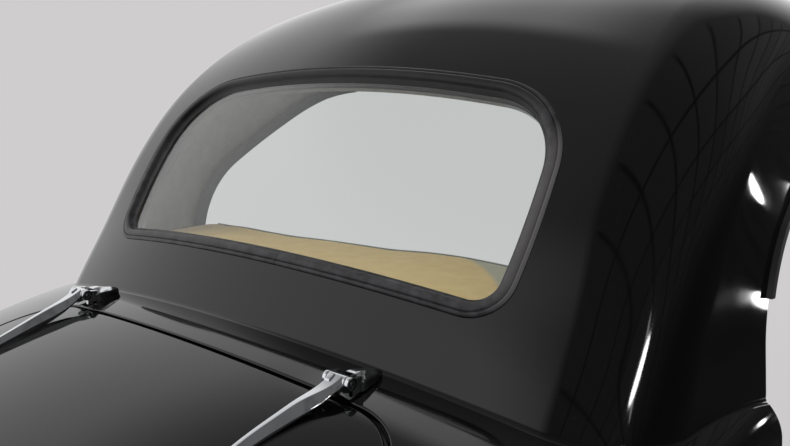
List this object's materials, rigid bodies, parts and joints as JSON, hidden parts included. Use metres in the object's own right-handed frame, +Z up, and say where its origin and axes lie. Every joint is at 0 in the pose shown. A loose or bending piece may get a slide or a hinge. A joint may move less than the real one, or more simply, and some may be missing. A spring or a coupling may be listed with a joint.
{
  "type": "rear body section of a hot rod coupe",
  "caption": "Rear body section of a hot rod coupe: rounded roof end, wide back window, quarter panels and a deck lid that lifts on exposed chrome hinges.",
  "frame": {"origin": "centre of the four body bolt holes, on the underside of the floor", "axes": "+X to the car's right, +Y forward, +Z up"},
  "size_m": [1.5804, 2.1217, 1.3619],
  "materials": {
    "body_paint": "gloss black",
    "inner_paint": "satin black",
    "chrome": "polished",
    "steel": "zinc plated",
    "rubber": "matte",
    "window_glass": "clear",
    "shelf_cloth": "brushed",
    "board": "raw",
    "trim_cloth": "matte",
    "garnish": "satin"
  },
  "bodies": {
    "body": {"roof_shell": "body_paint", "tulip_panel": "body_paint", "tail_panel": "body_paint", "quarter_panel_left": "body_paint", "quarter_panel_right": "body_paint", "deck_gutter": "inner_paint", "floor_pan": "inner_paint", "wheelhouse_left": "inner_paint", "wheelhouse_right": "inner_paint", "seat_bulkhead": "inner_paint", "roof_bow": "inner_paint", "lock_pillar_left": "inner_paint", "lock_pillar_right": "inner_paint", "door_frame_left": "inner_paint", "door_frame_right": "inner_paint", "drip_rail_left": "inner_paint", "drip_rail_right": "inner_paint", "hinge_leaf_left": "chrome", "hinge_leaf_right": "chrome", "deck_catch": "steel", "door_striker_left": "steel", "door_striker_right": "steel", "hinge_pin_left": "steel", "hinge_pin_right": "steel", "back_window_seal": "rubber", "deck_weatherstrip": "rubber", "back_window_glass": "window_glass", "package_shelf": "shelf_cloth", "shelf_board": "board", "headliner": "trim_cloth", "quarter_trim_left": "trim_cloth", "quarter_trim_right": "trim_cloth", "back_window_garnish": "garnish"},
    "deck_lid": {"deck_lid_skin": "body_paint", "deck_lid_frame": "inner_paint", "deck_lid_handle": "chrome", "deck_latch": "steel", "hinge_arm_left": "chrome", "hinge_arm_right": "chrome"}
  },
  "joints": [
    {"name": "deck_lid_hinge", "type": "hinge", "parent": "body", "child": "deck_lid", "pos_m": [0, 0.25, 0.581], "axis": [-1, 0, 0], "range_deg": [0, 60]}
  ]
}
